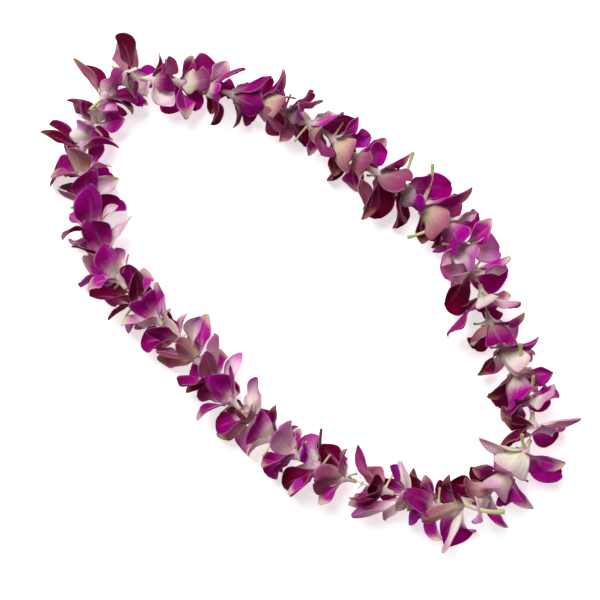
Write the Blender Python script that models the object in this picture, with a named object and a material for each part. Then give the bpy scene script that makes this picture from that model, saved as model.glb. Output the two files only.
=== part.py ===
"""A fresh flower lei: forty-eight Dendrobium orchid blossoms on one closed cotton thread.

All blossoms face the same way round the loop, so each nests in the mouth of the one behind it. The thread
runs straight through a bore in the middle of every blossom and is tied in one knot. The lei lies on a table
at z = 0, and the petals that reach the table lie flat on it. Lengths are in millimetres and angles in
degrees until a mesh is written, which is in metres.
"""

import math
import random

import bmesh
import bpy
from mathutils import Vector
from mathutils.bvhtree import BVHTree

METRES = 0.001
UP = Vector((0, 0, 1))

# The loop: the thread's way round the table, seen from above and turning clockwise.
LOOP = [
    (-205, 15), (-186, 37), (-151, 60), (-113, 79), (-74, 92), (-33, 96), (8, 101), (49, 105), (88, 93),
    (125, 72), (164, 57), (198, 37), (208, -4), (193, -46), (157, -68), (121, -85), (81, -99), (40, -102),
    (-1, -99), (-42, -95), (-83, -95), (-124, -87), (-160, -67), (-192, -40), (-204, -12),
]
STEPS_PER_SPAN = 24
THREAD_HEIGHT = 15.0
THREAD_RADIUS = 0.5
KNOT_AT = 602.0  # the knot's distance along the loop
KNOT_GAP = 9.0  # extra thread between the last blossom and the first, where the knot is
KNOT_RADIUS = 1.3
KNOT_LENGTH = 3.0
KNOT_WAIST = 0.28  # how far each end of the knot's fat middle is from its centre, as a share of its length
TAILS = {1: 70, 4: 250}  # the knot's side that each cut end leaves, and the azimuth it points to
TAIL_LENGTH = 7.0
TAIL_RADIUS = 0.45
TAIL_DRIFT = 2.0
TAIL_BEND = 0.35

# The hub: the blossom's solid middle, a six-sided ring that the thread is drawn through.
SIDES = 6
SIDE_ANGLE = 360 / SIDES
HUB_LENGTH = 6.5
HUB_RADIUS = 4.5
BORE_CLEARANCE = 0.35
BORE_RADIUS = (THREAD_RADIUS + BORE_CLEARANCE) / math.cos(math.pi / SIDES)

# Each organ leaves its own side of the hub. Sweep is the angle between the organ and the way the blossom
# faces, at its root and at its tip. Widths are full widths at the stations, which are shares of the length.
ORGANS = [
    {"name": "petal_left", "azimuth": 30, "length": 30, "sweep": (34, 60), "seat": 1.0,
     "stations": (0.28, 0.66, 1.0), "widths": (9.5, 21.5, 7.5), "cup": (0.8, 2.0, 0.6)},
    {"name": "dorsal_sepal", "azimuth": 90, "length": 29, "sweep": (50, 70), "seat": -1.0,
     "stations": (0.28, 0.66, 1.0), "widths": (8.0, 13.0, 3.0), "cup": None},
    {"name": "petal_right", "azimuth": 150, "length": 30, "sweep": (34, 60), "seat": 1.0,
     "stations": (0.28, 0.66, 1.0), "widths": (9.5, 21.5, 7.5), "cup": (0.8, 2.0, 0.6)},
    {"name": "lateral_sepal_right", "azimuth": 210, "length": 28, "sweep": (52, 72), "seat": -1.0,
     "stations": (0.28, 0.62, 1.0), "widths": (8.5, 14.0, 3.0), "cup": None},
    {"name": "lip", "azimuth": 270, "length": 20, "sweep": (20, 58), "seat": 1.6,
     "stations": (0.28, 0.65, 1.0), "widths": (7.0, 13.0, 6.0), "cup": None},
    {"name": "lateral_sepal_left", "azimuth": 330, "length": 28, "sweep": (52, 72), "seat": -1.0,
     "stations": (0.28, 0.62, 1.0), "widths": (8.5, 14.0, 3.0), "cup": None},
]
BLADE_THICKNESS = 1.0
COLUMN_SIDE = 1  # the side of the hub that the column stands on, under the dorsal sepal
COLUMN_SEAT = 2.6  # how far the column's middle is from the thread's
COLUMN_LENGTH = 4.5
COLUMN_WIDTH = 1.6
STALK_SEAT = 2.7
STALK_LENGTH = 16.0
STALK_WIDTH = 1.7
STALK_SECTIONS = 4
STALK_SIDES = [k for k, organ in enumerate(ORGANS) if not organ["cup"]]  # the stalk leaves behind a sepal

# How each blossom sits on the thread, one after another from the knot: its turn about the thread, and how much
# wider than usual it is open towards the outside of the loop, upwards, and all round.
SEATS = [
    (40, 0, 0, 0), (200, 10, 10, 5), (330, 10, 0, 0), (300, 10, 0, 0), (0, 20, 0, 0), (60, 15, 0, 0),
    (20, 15, 8, 4), (0, 5, 0, 0), (340, 18, 0, 0), (90, 10, 0, 0), (270, 10, 0, 8), (320, 10, 0, 0),
    (310, 0, 0, 0), (60, 15, 8, 4), (75, 15, 0, 0), (300, 22, 0, 6), (200, 10, 0, 4), (215, 15, 0, 6),
    (190, 18, 0, 4), (345, 0, 0, 8), (65, 0, 0, 6), (180, 0, 0, 4), (20, 0, 0, 8), (320, 0, 0, 0),
    (50, 0, 0, 4), (200, 0, 4, 6), (330, 0, 0, 4), (60, 0, 0, 6), (0, 0, 4, 10), (45, 0, 0, 10), (190, 0, 0, 4),
    (315, 0, 0, 2), (300, 5, 0, 10), (180, 8, 36, 20), (150, 8, 30, 18), (10, 0, 12, 22), (60, 0, 0, 12),
    (300, 0, 0, 14), (70, 0, 0, 8), (270, 6, 12, 24), (180, 6, 44, 24), (315, 0, 0, 12), (60, 0, 0, 8),
    (30, 0, 0, 14), (300, 0, 0, 4), (75, 0, 0, 8), (240, 0, 0, 4), (40, 0, 4, 10),
]
BLOSSOMS = len(SEATS)

# The small differences between blossoms, each drawn evenly between its two ends.
TURN_SHIFT = (-6, 6)
OPENING = (-3, 5)
SIZE = (0.94, 1.06)
AZIMUTH_SHIFT = (-6, 6)
ROOT_SHIFT = (-7, 7)
TIP_SHIFT = (-18, 24)
TWIST = (-20, 20)
LENGTH_SHARE = (0.95, 1.05)
STALK_LEAN = (-25, 25)
STALK_ROOT = (80, 105)
STALK_TIP = (85, 135)
STALK_SHARE = (0.7, 1.3)
MOST_DRAWS = 400
DRAWS_TO_DOUBLE = 100  # the differences grow as draws fail, to twice as wide after this many
SETTLING = 7.0
NOD = 10.0  # how far an organ on top leans forward, over the next blossom
FACE_UP = 52.0  # how far an organ at the side turns its inner face upwards
TWIST_REACHED = 0.62  # the share of its length by which an organ has turned

# The table: an organ that comes down to it bends in an easy curve and lies along it.
TABLE_BEND = 6.0
TABLE_BAND = 5.0
TABLE_SINK = 1.0  # how far a blade's middle is let down past lying flat, before its skin is pressed to the table
TABLE_LEAN = 1.4  # how soon an organ that points down turns its face to the table
HEADING_MEMORY = 0.05
MARCH = 0.5
KEEP_CLEAR = 0.2

PETAL_COLOUR = (0.256, 0.005, 0.162, 1.0)
THREAD_COLOUR = (0.807, 0.776, 0.694, 1.0)


def clear_scene():
    for old in list(bpy.data.objects):
        bpy.data.objects.remove(old)


# ---------------------------------------------------------------- the loop


def smooth_loop(corners):
    """Points close together on a smooth closed curve through the corners, at the thread's height."""
    points = []
    count = len(corners)
    for i in range(count):
        a, b, c, d = (Vector((*corners[(i + k - 1) % count], THREAD_HEIGHT)) for k in range(4))
        for step in range(STEPS_PER_SPAN):
            t = step / STEPS_PER_SPAN
            points.append(0.5 * (2 * b + (c - a) * t + (2 * a - 5 * b + 4 * c - d) * t**2
                                 + (3 * b - a - 3 * c + d) * t**3))
    return points


class Route:
    """The loop by distance along it."""

    def __init__(self, points):
        self.points = points + points[:1]
        self.at = [0.0]
        for a, b in zip(self.points, self.points[1:]):
            self.at.append(self.at[-1] + (b - a).length)
        self.length = self.at[-1]

    def point(self, distance):
        distance %= self.length
        low, high = 0, len(self.at) - 1
        while high - low > 1:
            middle = (low + high) // 2
            if self.at[middle] <= distance:
                low = middle
            else:
                high = middle
        share = (distance - self.at[low]) / (self.at[high] - self.at[low])
        return self.points[low].lerp(self.points[high], share)

    def forward(self, distance):
        return (self.point(distance + HUB_LENGTH) - self.point(distance - HUB_LENGTH)).normalized()


def station(route, index):
    """Where a blossom's middle is and which way the thread runs through it."""
    spacing = (route.length - KNOT_GAP) / BLOSSOMS
    distance = KNOT_AT + KNOT_GAP / 2 + (index + 0.5) * spacing
    return route.point(distance), route.forward(distance)


def settled(azimuth):
    """An organ's azimuth after the blossom has sunk a little under its weight, its organs spread to both sides."""
    return azimuth - SETTLING * math.sin(2 * math.radians(azimuth))


def faced(index, azimuth):
    """How many degrees wider than usual an organ at an azimuth is open, from the way its blossom is turned."""
    _, aside, lift, wider = SEATS[index]
    angle = math.radians(azimuth)
    return wider + max(0.0, aside * math.cos(angle)) + (lift - NOD) * max(0.0, math.sin(angle))


def across(forward, azimuth):
    """The direction at an azimuth about a forward way: 0 is its left, which is out of the loop, and 90 is up."""
    left = UP.cross(forward).normalized()
    over = forward.cross(left)
    angle = math.radians(azimuth)
    return left * math.cos(angle) + over * math.sin(angle)


# ---------------------------------------------------------------- one blossom's own shape


def draw_poses(index, draw):
    """The bearing of each organ and of the stalk, with the small differences that make the blossom its own."""
    luck = random.Random(1000 * index + draw)
    spread = 1 + draw / DRAWS_TO_DOUBLE
    turn = SEATS[index][0] + luck.uniform(*TURN_SHIFT) * spread
    opening = luck.uniform(*OPENING)
    size = luck.uniform(*SIZE)
    poses = []
    for organ in ORGANS:
        root, tip = organ["sweep"]
        azimuth = settled(turn + organ["azimuth"] + luck.uniform(*AZIMUTH_SHIFT) * spread)
        opened = opening + faced(index, azimuth)
        poses.append({
            "azimuth": azimuth,
            "root": root + opened + luck.uniform(*ROOT_SHIFT) * spread,
            "tip": tip + opened + luck.uniform(*TIP_SHIFT) * spread,
            "twist": luck.uniform(*TWIST) * spread - FACE_UP * math.cos(math.radians(azimuth)),
            "length": organ["length"] * size * luck.uniform(*LENGTH_SHARE),
        })
    side = luck.choice(STALK_SIDES)
    stalk = {
        "side": side,
        "azimuth": turn + ORGANS[side]["azimuth"] + luck.uniform(*STALK_LEAN),
        "root": luck.uniform(*STALK_ROOT),
        "tip": luck.uniform(*STALK_TIP),
        "twist": 0.0,
        "length": STALK_LENGTH * luck.uniform(*STALK_SHARE),
    }
    return turn, poses, stalk


def rail(start, forward, outward, pose, room, flat=True):
    """The middle line of an organ, marched from its root to its tip.

    Each entry is (place, way along, way across, way its inner face looks). The organ's sweep from forward
    changes evenly from root to tip. Near the table, which its middle keeps at least room above, it bends
    level and, if flat is set, turns its face to the table.
    """
    side = forward.cross(outward)
    place = start.copy()
    steps = max(2, round(pose["length"] / MARCH))
    pace = pose["length"] / steps
    track = []
    heading = Vector((forward.x, forward.y, 0)).normalized()
    for step in range(steps + 1):
        share = step / steps
        sweep = math.radians(pose["root"] + (pose["tip"] - pose["root"]) * share)
        along = forward * math.cos(sweep) + outward * math.sin(sweep)
        steepest = -max(0.0, place.z - room) / TABLE_BEND
        if along.z < steepest:
            along = heading * math.sqrt(max(0.0, 1 - steepest**2)) + UP * steepest
        else:
            heading = (Vector((along.x, along.y, 0)) + heading * HEADING_MEMORY).normalized()
        turn = math.radians(pose["twist"]) * min(1.0, share / TWIST_REACHED)
        inner = along.cross(side).normalized()
        width = side * math.cos(turn) + inner * math.sin(turn)
        lying = min(1.0, max(0.0, (TABLE_BAND + room - place.z) / TABLE_BAND))
        lying *= min(1.0, max(0.0, -TABLE_LEAN * outward.z))
        if flat and lying > 0:
            level = UP.cross(along).normalized()
            if level.dot(width) < 0:
                level = -level
            width = width * (1 - lying) + level * lying
        width = (width - along * width.dot(along)).normalized()
        normal = along.cross(width).normalized()
        track.append((place.copy(), along, width, normal))
        place += along * pace
    return track


def on_track(track, share):
    return track[round(share * (len(track) - 1))]


def above_table(point, normal_z, thickness):
    """A blade's skin stops at the table: its lower face on it, its upper face a thickness above."""
    floor = thickness * max(0.0, normal_z)
    return Vector((point.x, point.y, max(point.z, floor)))


def blade_rings(organ, pose, track, grow):
    """The corners of each cross-section of a blade, in the order of its side of the hub."""
    half = BLADE_THICKNESS / 2 + grow
    rings = []
    for number, share in enumerate(organ["stations"]):
        place, _, width, normal = on_track(track, share)
        reach = organ["widths"][number] / 2 * pose["length"] / organ["length"] + grow
        depth = organ["cup"][number] if organ["cup"] else 0.0
        spots = (-1, 0, 1) if organ["cup"] else (-1, 1)
        inner = []
        outer = []
        for spot in spots:
            middle = place + width * reach * spot - normal * depth * (1 - abs(spot))
            inner.append(above_table(middle + normal * half, normal.z, 2 * half))
            outer.append(above_table(middle - normal * half, -normal.z, 2 * half))
        rings.append((inner, outer))
    return rings


def bridge(bm, low, high):
    """Side faces between two rings with the same number of corners."""
    count = len(low)
    for i in range(count):
        j = (i + 1) % count
        bm.faces.new((low[i], low[j], high[j], high[i]))


def bridge_blade(bm, low, high):
    """Side faces of a blade, each wide one cut along the same diagonal as the face behind it.

    A ring lists the corners of one face of the blade, then those of the other in the opposite order. With
    unlike diagonals the two faces of a thin twisted blade would cross.
    """
    count = len(low)
    half = count // 2
    for i in range(count):
        j = (i + 1) % count
        if i in (half - 1, count - 1):
            bm.faces.new((low[i], low[j], high[j], high[i]))
        elif i < half:
            bm.faces.new((low[i], low[j], high[j]))
            bm.faces.new((low[i], high[j], high[i]))
        else:
            bm.faces.new((low[i], low[j], high[i]))
            bm.faces.new((low[j], high[j], high[i]))


def cap_strip(bm, ring):
    """The end of a blade: a row of quads over a ring that lists one face's corners, then the other's."""
    half = len(ring) // 2
    for i in range(half - 1):
        bm.faces.new((ring[i], ring[i + 1], ring[-2 - i], ring[-1 - i]))


def blossom_mesh(route, index, draw, grow=0.0):
    """One blossom as one closed shell: hub, three sepals, two petals, lip, column and stalk."""
    centre, forward = station(route, index)
    turn, poses, stalk = draw_poses(index, draw)
    bm = bmesh.new()
    outer_radius = HUB_RADIUS + grow
    bore_radius = BORE_RADIUS - grow / 2
    half_length = HUB_LENGTH / 2 + grow
    front_outer, back_outer, front_inner, back_inner = (
        [bm.verts.new(centre + across(forward, turn + SIDE_ANGLE * k) * radius + forward * offset)
         for k in range(SIDES)]
        for radius in (outer_radius, bore_radius) for offset in (half_length, -half_length))
    bridge(bm, front_inner, back_inner)
    for k, organ in enumerate(ORGANS):
        j = (k + 1) % SIDES
        front = [front_outer[k], front_outer[j]]
        back = [back_outer[k], back_outer[j]]
        if organ["cup"]:
            front.insert(1, bm.verts.new((front[0].co + front[1].co) / 2))
            back.insert(1, bm.verts.new((back[0].co + back[1].co) / 2))
        grow_blade(bm, organ, poses[k], centre, forward, front + back[::-1], outer_radius, grow)
        middle = turn + SIDE_ANGLE * (k + 0.5)
        mouth = [front_inner[k], front_inner[j]] + front[::-1]
        tail = [back_inner[j], back_inner[k]] + back
        if k == COLUMN_SIDE:
            grow_column(bm, centre, forward, middle, mouth, half_length, grow)
        else:
            bm.faces.new(mouth[::-1])
        if k == stalk["side"]:
            grow_stalk(bm, centre, forward, middle, tail, stalk, half_length, grow)
        else:
            bm.faces.new(tail[::-1])
    to_metres(bm)
    return bm


def grow_blade(bm, organ, pose, centre, forward, root, outer_radius, grow):
    """One petal, sepal or lip: a thin blade from a side of the hub, whose corners are in root."""
    outward = across(forward, pose["azimuth"])
    start = centre + outward * outer_radius * math.cos(math.pi / SIDES) + forward * organ["seat"]
    track = rail(start, forward, outward, pose, BLADE_THICKNESS / 2 + grow - TABLE_SINK)
    low = root
    for inner, outer in blade_rings(organ, pose, track, grow):
        high = [bm.verts.new(p) for p in inner] + [bm.verts.new(p) for p in outer[::-1]]
        bridge_blade(bm, low, high)
        low = high
    cap_strip(bm, low)


def grow_column(bm, centre, forward, azimuth, mouth, half_length, grow):
    """The column: a stub on the front of the hub, beside the thread."""
    outward = across(forward, azimuth)
    side = forward.cross(outward)
    reach = COLUMN_WIDTH / 2 + grow
    middle = centre + outward * COLUMN_SEAT + forward * (half_length + COLUMN_LENGTH)
    end = [bm.verts.new(middle + outward * reach * a + side * reach * b)
           for a, b in ((-1, -1), (-1, 1), (1, 1), (1, -1))]
    bridge(bm, mouth, end)
    bm.faces.new(end)


def grow_stalk(bm, centre, forward, azimuth, tail, stalk, half_length, grow):
    """The stalk: it leaves the back of the hub beside the thread, bends outwards and ends in a clean cut."""
    start = centre + across(forward, azimuth) * STALK_SEAT - forward * half_length
    reach = STALK_WIDTH / 2 + grow
    track = rail(start, forward, across(forward, stalk["azimuth"]), stalk, reach, flat=False)
    low = tail
    for number in range(1, STALK_SECTIONS + 1):
        place, along, width, normal = on_track(track, number / STALK_SECTIONS)
        if number == STALK_SECTIONS:
            place = place + along * grow
        corners = [place + width * reach * a + normal * reach * b
                   for a, b in ((1, -1), (-1, -1), (-1, 1), (1, 1))]
        high = [bm.verts.new(Vector((p.x, p.y, max(p.z, 0.0)))) for p in corners]
        bridge(bm, low, high)
        low = high
    bm.faces.new(low)


def to_metres(bm):
    for vert in bm.verts:
        vert.co = vert.co * METRES
    bmesh.ops.recalc_face_normals(bm, faces=bm.faces)


# ---------------------------------------------------------------- the thread


def thread_mesh(route):
    """The thread: through every hub, round the loop and into both ends of the knot, with two cut tails."""
    bm = bmesh.new()
    knot = route.point(KNOT_AT)
    ahead = route.forward(KNOT_AT)

    def ring(middle, forward, radius):
        return [bm.verts.new(middle + across(forward, SIDE_ANGLE * k) * radius) for k in range(SIDES)]

    rings = [ring(knot + ahead * KNOT_LENGTH / 2, ahead, THREAD_RADIUS)]
    for index in range(BLOSSOMS):
        centre, forward = station(route, index)
        for offset in (-HUB_LENGTH / 2, HUB_LENGTH / 2):
            rings.append(ring(centre + forward * offset, forward, THREAD_RADIUS))
    rings.append(ring(knot - ahead * KNOT_LENGTH / 2, ahead, THREAD_RADIUS))
    waists = [ring(knot + ahead * KNOT_LENGTH * share, ahead, KNOT_RADIUS)
              for share in (-KNOT_WAIST, KNOT_WAIST)]
    chain = [waists[1]] + rings + [waists[0]]
    for low, high in zip(chain, chain[1:]):
        bridge(bm, low, high)
    for k in range(SIDES):
        j = (k + 1) % SIDES
        side = [waists[0][k], waists[0][j], waists[1][j], waists[1][k]]
        if k in TAILS:
            grow_tail(bm, knot, ahead, TAILS[k], side)
        else:
            bm.faces.new(side)
    to_metres(bm)
    return bm


def grow_tail(bm, middle, forward, azimuth, side):
    """A cut end of the thread, sticking out of the knot."""
    outward = across(forward, azimuth)
    width = forward.cross(outward)
    low = side
    for share in (TAIL_BEND, 1.0):
        place = middle + outward * (KNOT_RADIUS + TAIL_LENGTH * share) + forward * TAIL_DRIFT * share
        high = [bm.verts.new(place + forward * TAIL_RADIUS * a + width * TAIL_RADIUS * b)
                for a, b in ((-1, -1), (-1, 1), (1, 1), (1, -1))]
        bridge(bm, low, high)
        low = high
    bm.faces.new(low)


# ---------------------------------------------------------------- the lei


def folds_on_itself(bm):
    """True where two faces that share no corner pass through each other."""
    tree = BVHTree.FromBMesh(bm)
    bm.faces.ensure_lookup_table()
    for a, b in tree.overlap(tree):
        if a < b and not set(bm.faces[a].verts) & set(bm.faces[b].verts):
            return True
    return False


def grow_blossoms(route, thread_tree):
    """Each blossom takes its first draw of small differences that leaves its neighbours room."""
    trees = []
    chosen = []
    for index in range(BLOSSOMS):
        near = [trees[k] for k in range(index) if min(index - k, BLOSSOMS - index + k) <= 3]
        for draw in range(MOST_DRAWS):
            wide = blossom_mesh(route, index, draw, KEEP_CLEAR)
            tree = BVHTree.FromBMesh(wide)
            wide.free()
            if any(tree.overlap(other) for other in near) or tree.overlap(thread_tree):
                continue
            bm = blossom_mesh(route, index, draw)
            folded = folds_on_itself(bm)
            bm.free()
            if not folded:
                break
        else:
            print("no draw leaves blossom", index + 1, "clear")
        trees.append(tree)
        chosen.append(draw)
    print("draws", chosen)
    return chosen


def add_object(name, bm, colour, roughness):
    mesh = bpy.data.meshes.new(name)
    bm.to_mesh(mesh)
    bm.free()
    part = bpy.data.objects.new(name, mesh)
    bpy.context.collection.objects.link(part)
    material = bpy.data.materials.new(name)
    material.use_nodes = True
    shader = material.node_tree.nodes["Principled BSDF"]
    shader.inputs["Base Color"].default_value = colour
    shader.inputs["Roughness"].default_value = roughness
    shader.inputs["Metallic"].default_value = 0.0
    mesh.materials.append(material)
    return part


def main():
    clear_scene()
    route = Route(smooth_loop(LOOP))
    print("loop length", round(route.length, 1))
    thread = thread_mesh(route)
    thread_tree = BVHTree.FromBMesh(thread)
    add_object("thread", thread, THREAD_COLOUR, 0.9)
    for index, draw in enumerate(grow_blossoms(route, thread_tree)):
        bm = blossom_mesh(route, index, draw)
        add_object(f"blossom_{index + 1:02d}", bm, PETAL_COLOUR, 0.45)


main()
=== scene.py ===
# %% [markdown]
# # A fresh flower lei
# Forty-eight orchid blossoms are strung on one cotton thread, which is knotted into a loop about a metre
# round. Each blossom has two broad petals, three narrower sepals, a lip, a column and a cut green stalk.
# The frame holds the thread's loop and a plain solid for every blossom. This script grows each blossom's
# real shape and finish in the same place, bends its organs the same way, and hides the plain solid.

# %% Load the frame
import math
import random

import bmesh
import bpy
import numpy as np
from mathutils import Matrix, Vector


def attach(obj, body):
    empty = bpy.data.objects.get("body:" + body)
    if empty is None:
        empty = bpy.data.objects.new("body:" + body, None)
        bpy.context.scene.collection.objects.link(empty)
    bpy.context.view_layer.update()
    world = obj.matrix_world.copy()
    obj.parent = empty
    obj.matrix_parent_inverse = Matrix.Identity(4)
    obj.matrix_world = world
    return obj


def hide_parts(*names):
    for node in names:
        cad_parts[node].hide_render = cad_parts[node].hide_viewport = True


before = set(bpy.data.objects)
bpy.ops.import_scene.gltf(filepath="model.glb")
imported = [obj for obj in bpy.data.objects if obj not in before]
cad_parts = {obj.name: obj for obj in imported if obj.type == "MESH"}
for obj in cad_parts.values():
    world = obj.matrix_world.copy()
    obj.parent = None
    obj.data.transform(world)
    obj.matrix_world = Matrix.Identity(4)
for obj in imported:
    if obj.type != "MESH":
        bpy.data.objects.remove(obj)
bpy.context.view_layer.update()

MM = 0.001  # shapes are worked out in mm and written in metres
UP = Vector((0, 0, 1))
FULL_TURN = 6.28  # radians


def deselect_all():
    """Nothing selected and nothing active, so that the next operator acts only on what it makes."""
    if bpy.context.object and bpy.context.object.mode != "OBJECT":
        bpy.ops.object.mode_set(mode="OBJECT")
    bpy.ops.object.select_all(action="DESELECT")
    bpy.context.view_layer.objects.active = None


def pick(pieces):
    """Just these pieces selected, and the first of them active."""
    deselect_all()
    for piece in pieces:
        piece.select_set(True)
    bpy.context.view_layer.objects.active = pieces[0]


def new_object(name, data):
    """An object in the scene for a camera, a lamp, a curve or a mesh."""
    made = bpy.data.objects.new(name, data)
    bpy.context.collection.objects.link(made)
    return made


deselect_all()
BLOSSOM_NODES = sorted(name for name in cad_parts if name.startswith("blossom_"))
print(len(BLOSSOM_NODES), "blossoms to grow")

# %% [markdown]
# ## The camera, the floor and the light
# A lei is laid out on a table to show it, so the camera looks straight down, and it is rolled so that the
# long oval runs from the upper left to the lower right. The floor is plain and nearly white, and glows a
# little, as a light table does, so that shadows stay faint. One large soft lamp stands low to one side, as
# a window would, so that petals turned to it are bright and those turned away go darker; the darkest
# organs also have painted shade in their colour. A weak warm light from all round fills the shade.

# %% The camera
FRAME_WIDTH = 0.450  # what the view takes in, in metres at the height of the thread
VIEW_CENTRE = Vector((0.0049, -0.0110, 0.015))
CAMERA_HEIGHT = 0.95
CAMERA_ROLL = 43.0  # degrees
SENSOR_WIDTH = 36.0

camera_data = bpy.data.cameras.new("camera")
camera = new_object("camera", camera_data)
camera.location = VIEW_CENTRE + UP * CAMERA_HEIGHT
camera.rotation_euler = (0, 0, math.radians(CAMERA_ROLL))
camera_data.sensor_width = SENSOR_WIDTH
camera_data.lens = SENSOR_WIDTH * CAMERA_HEIGHT / FRAME_WIDTH
bpy.context.scene.camera = camera
print("lens", round(camera_data.lens, 1), "mm")

# %% Colour, and a small helper for nodes


def linear(hex_colour, alpha=1.0):
    """An sRGB hex colour as the linear numbers that shaders take."""
    values = [int(hex_colour[i:i + 2], 16) / 255 for i in (1, 3, 5)]
    return (*(v / 12.92 if v <= 0.04045 else ((v + 0.055) / 1.055) ** 2.4 for v in values), alpha)


def new_material(name):
    """A material with its node tree cleared down to one Principled shader and the output."""
    material = bpy.data.materials.new(name)
    material.use_nodes = True
    return material, material.node_tree, material.node_tree.nodes["Principled BSDF"]


def add_node(tree, kind, settings=None, stops=(), **inputs):
    """A node of a kind, with its settings and its colour stops.

    Each input, by its name or by its number after an underscore, is set to a value, or linked to a socket
    or to the first output of a node.
    """
    node = tree.nodes.new("ShaderNode" + kind)
    for key, value in (settings or {}).items():
        setattr(node, key, value)
    for count, (place, colour) in enumerate(stops):
        elements = node.color_ramp.elements
        element = elements[count] if count < 2 else elements.new(place)
        element.position = place
        element.color = linear(colour)
    for key, value in inputs.items():
        socket = node.inputs[int(key[1:])] if key[1:].isdigit() else node.inputs[key.replace("_", " ")]
        if isinstance(value, bpy.types.Node):
            value = value.outputs[0]
        if isinstance(value, bpy.types.NodeSocket):
            tree.links.new(value, socket)
        else:
            socket.default_value = value
    return node


print("magenta is", [round(v, 3) for v in linear("#a80090")])

# %% The floor
FLOOR_SIZE = 60.0
FLOOR_GLOW = 0.62
FLOOR_ROUGHNESS = 0.9
bpy.ops.mesh.primitive_plane_add(size=FLOOR_SIZE, location=(0, 0, 0))
floor = bpy.context.object
floor.name = "floor"
paint, tree, shader = new_material("floor_white_paint")
shader.inputs["Base Color"].default_value = linear("#fbfaf8")
shader.inputs["Roughness"].default_value = FLOOR_ROUGHNESS
shader.inputs["Emission Color"].default_value = linear("#ffffff")
shader.inputs["Emission Strength"].default_value = FLOOR_GLOW
floor.data.materials.append(paint)
print("floor", FLOOR_SIZE, "m wide")

# %% The light
KEY_FROM = Vector((-0.9, 0.4, 1.2))
KEY_DISTANCE = 3.2
KEY_SIZE = 2.4
KEY_POWER = 112.0
KEY_COLOUR = (1.0, 0.985, 0.96)  # linear, a trace warmer than white
FILL_STRENGTH = 0.115
FILL_COLOUR = (1.0, 0.93, 0.88, 1.0)  # linear, as from a cream wall

lamp_data = bpy.data.lights.new("window", "AREA")
lamp_data.shape = "DISK"
lamp_data.size = KEY_SIZE
lamp_data.energy = KEY_POWER
lamp_data.color = KEY_COLOUR
lamp = new_object("window", lamp_data)
lamp.location = KEY_FROM.normalized() * KEY_DISTANCE
lamp.rotation_euler = (-KEY_FROM).to_track_quat("-Z", "Y").to_euler()

world = bpy.data.worlds.new("studio")
bpy.context.scene.world = world
world.use_nodes = True
background = world.node_tree.nodes["Background"]
background.inputs["Color"].default_value = FILL_COLOUR
background.inputs["Strength"].default_value = FILL_STRENGTH
bpy.context.scene.view_settings.view_transform = "Standard"
print("lamp", [round(v, 2) for v in lamp.location], "of", KEY_POWER, "W")

# %% [markdown]
# ## How the blossoms sit on the thread
# The same driving values as in the frame say where each blossom is, how it is turned and how far each
# organ bends away from the thread. An organ's middle line is marched in small steps, so that it eases down
# and lies along the table where it meets it. Repeating the rule costs a page, but then every petal that is
# modelled here lies exactly where its solid lies in the frame.

# %% The thread's loop
# Corners of the loop seen from above, in mm.
LOOP = [
    (-205, 15), (-186, 37), (-151, 60), (-113, 79), (-74, 92), (-33, 96), (8, 101), (49, 105), (88, 93),
    (125, 72), (164, 57), (198, 37), (208, -4), (193, -46), (157, -68), (121, -85), (81, -99), (40, -102),
    (-1, -99), (-42, -95), (-83, -95), (-124, -87), (-160, -67), (-192, -40), (-204, -12),
]
STEPS_PER_SPAN = 24
THREAD_HEIGHT = 15.0
KNOT_AT = 602.0  # mm of thread from the first corner
KNOT_GAP = 9.0
HUB_LENGTH = 6.5
HUB_RADIUS = 4.5
HUB_SIDES = 6


def smooth_loop(corners):
    """Points close together on a smooth closed curve through the corners, at the thread's height."""
    points = []
    count = len(corners)
    for i in range(count):
        a, b, c, d = (Vector((*corners[(i + k - 1) % count], THREAD_HEIGHT)) for k in range(4))
        for step in range(STEPS_PER_SPAN):
            t = step / STEPS_PER_SPAN
            points.append(0.5 * (2 * b + (c - a) * t + (2 * a - 5 * b + 4 * c - d) * t**2
                                 + (3 * b - a - 3 * c + d) * t**3))
    return points


LOOP_POINTS = smooth_loop(LOOP)
LOOP_POINTS.append(LOOP_POINTS[0])
LOOP_AT = [0.0]
for a, b in zip(LOOP_POINTS, LOOP_POINTS[1:]):
    LOOP_AT.append(LOOP_AT[-1] + (b - a).length)
LOOP_LENGTH = LOOP_AT[-1]
print("thread length", round(LOOP_LENGTH), "mm")


def loop_point(distance):
    """The place so many mm along the thread from the loop's first corner."""
    distance %= LOOP_LENGTH
    low = int(np.searchsorted(LOOP_AT, distance, side="right")) - 1
    low = min(low, len(LOOP_POINTS) - 2)
    share = (distance - LOOP_AT[low]) / (LOOP_AT[low + 1] - LOOP_AT[low])
    return LOOP_POINTS[low].lerp(LOOP_POINTS[low + 1], share)


def loop_forward(distance):
    """The way that the thread runs there, across the length of a hub to each side."""
    return (loop_point(distance + HUB_LENGTH) - loop_point(distance - HUB_LENGTH)).normalized()


def across(forward, azimuth):
    """The direction at an azimuth about a forward way: 0 is left, out of the loop, and 90 is up."""
    left = UP.cross(forward).normalized()
    over = forward.cross(left)
    angle = math.radians(azimuth)
    return left * math.cos(angle) + over * math.sin(angle)


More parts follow.
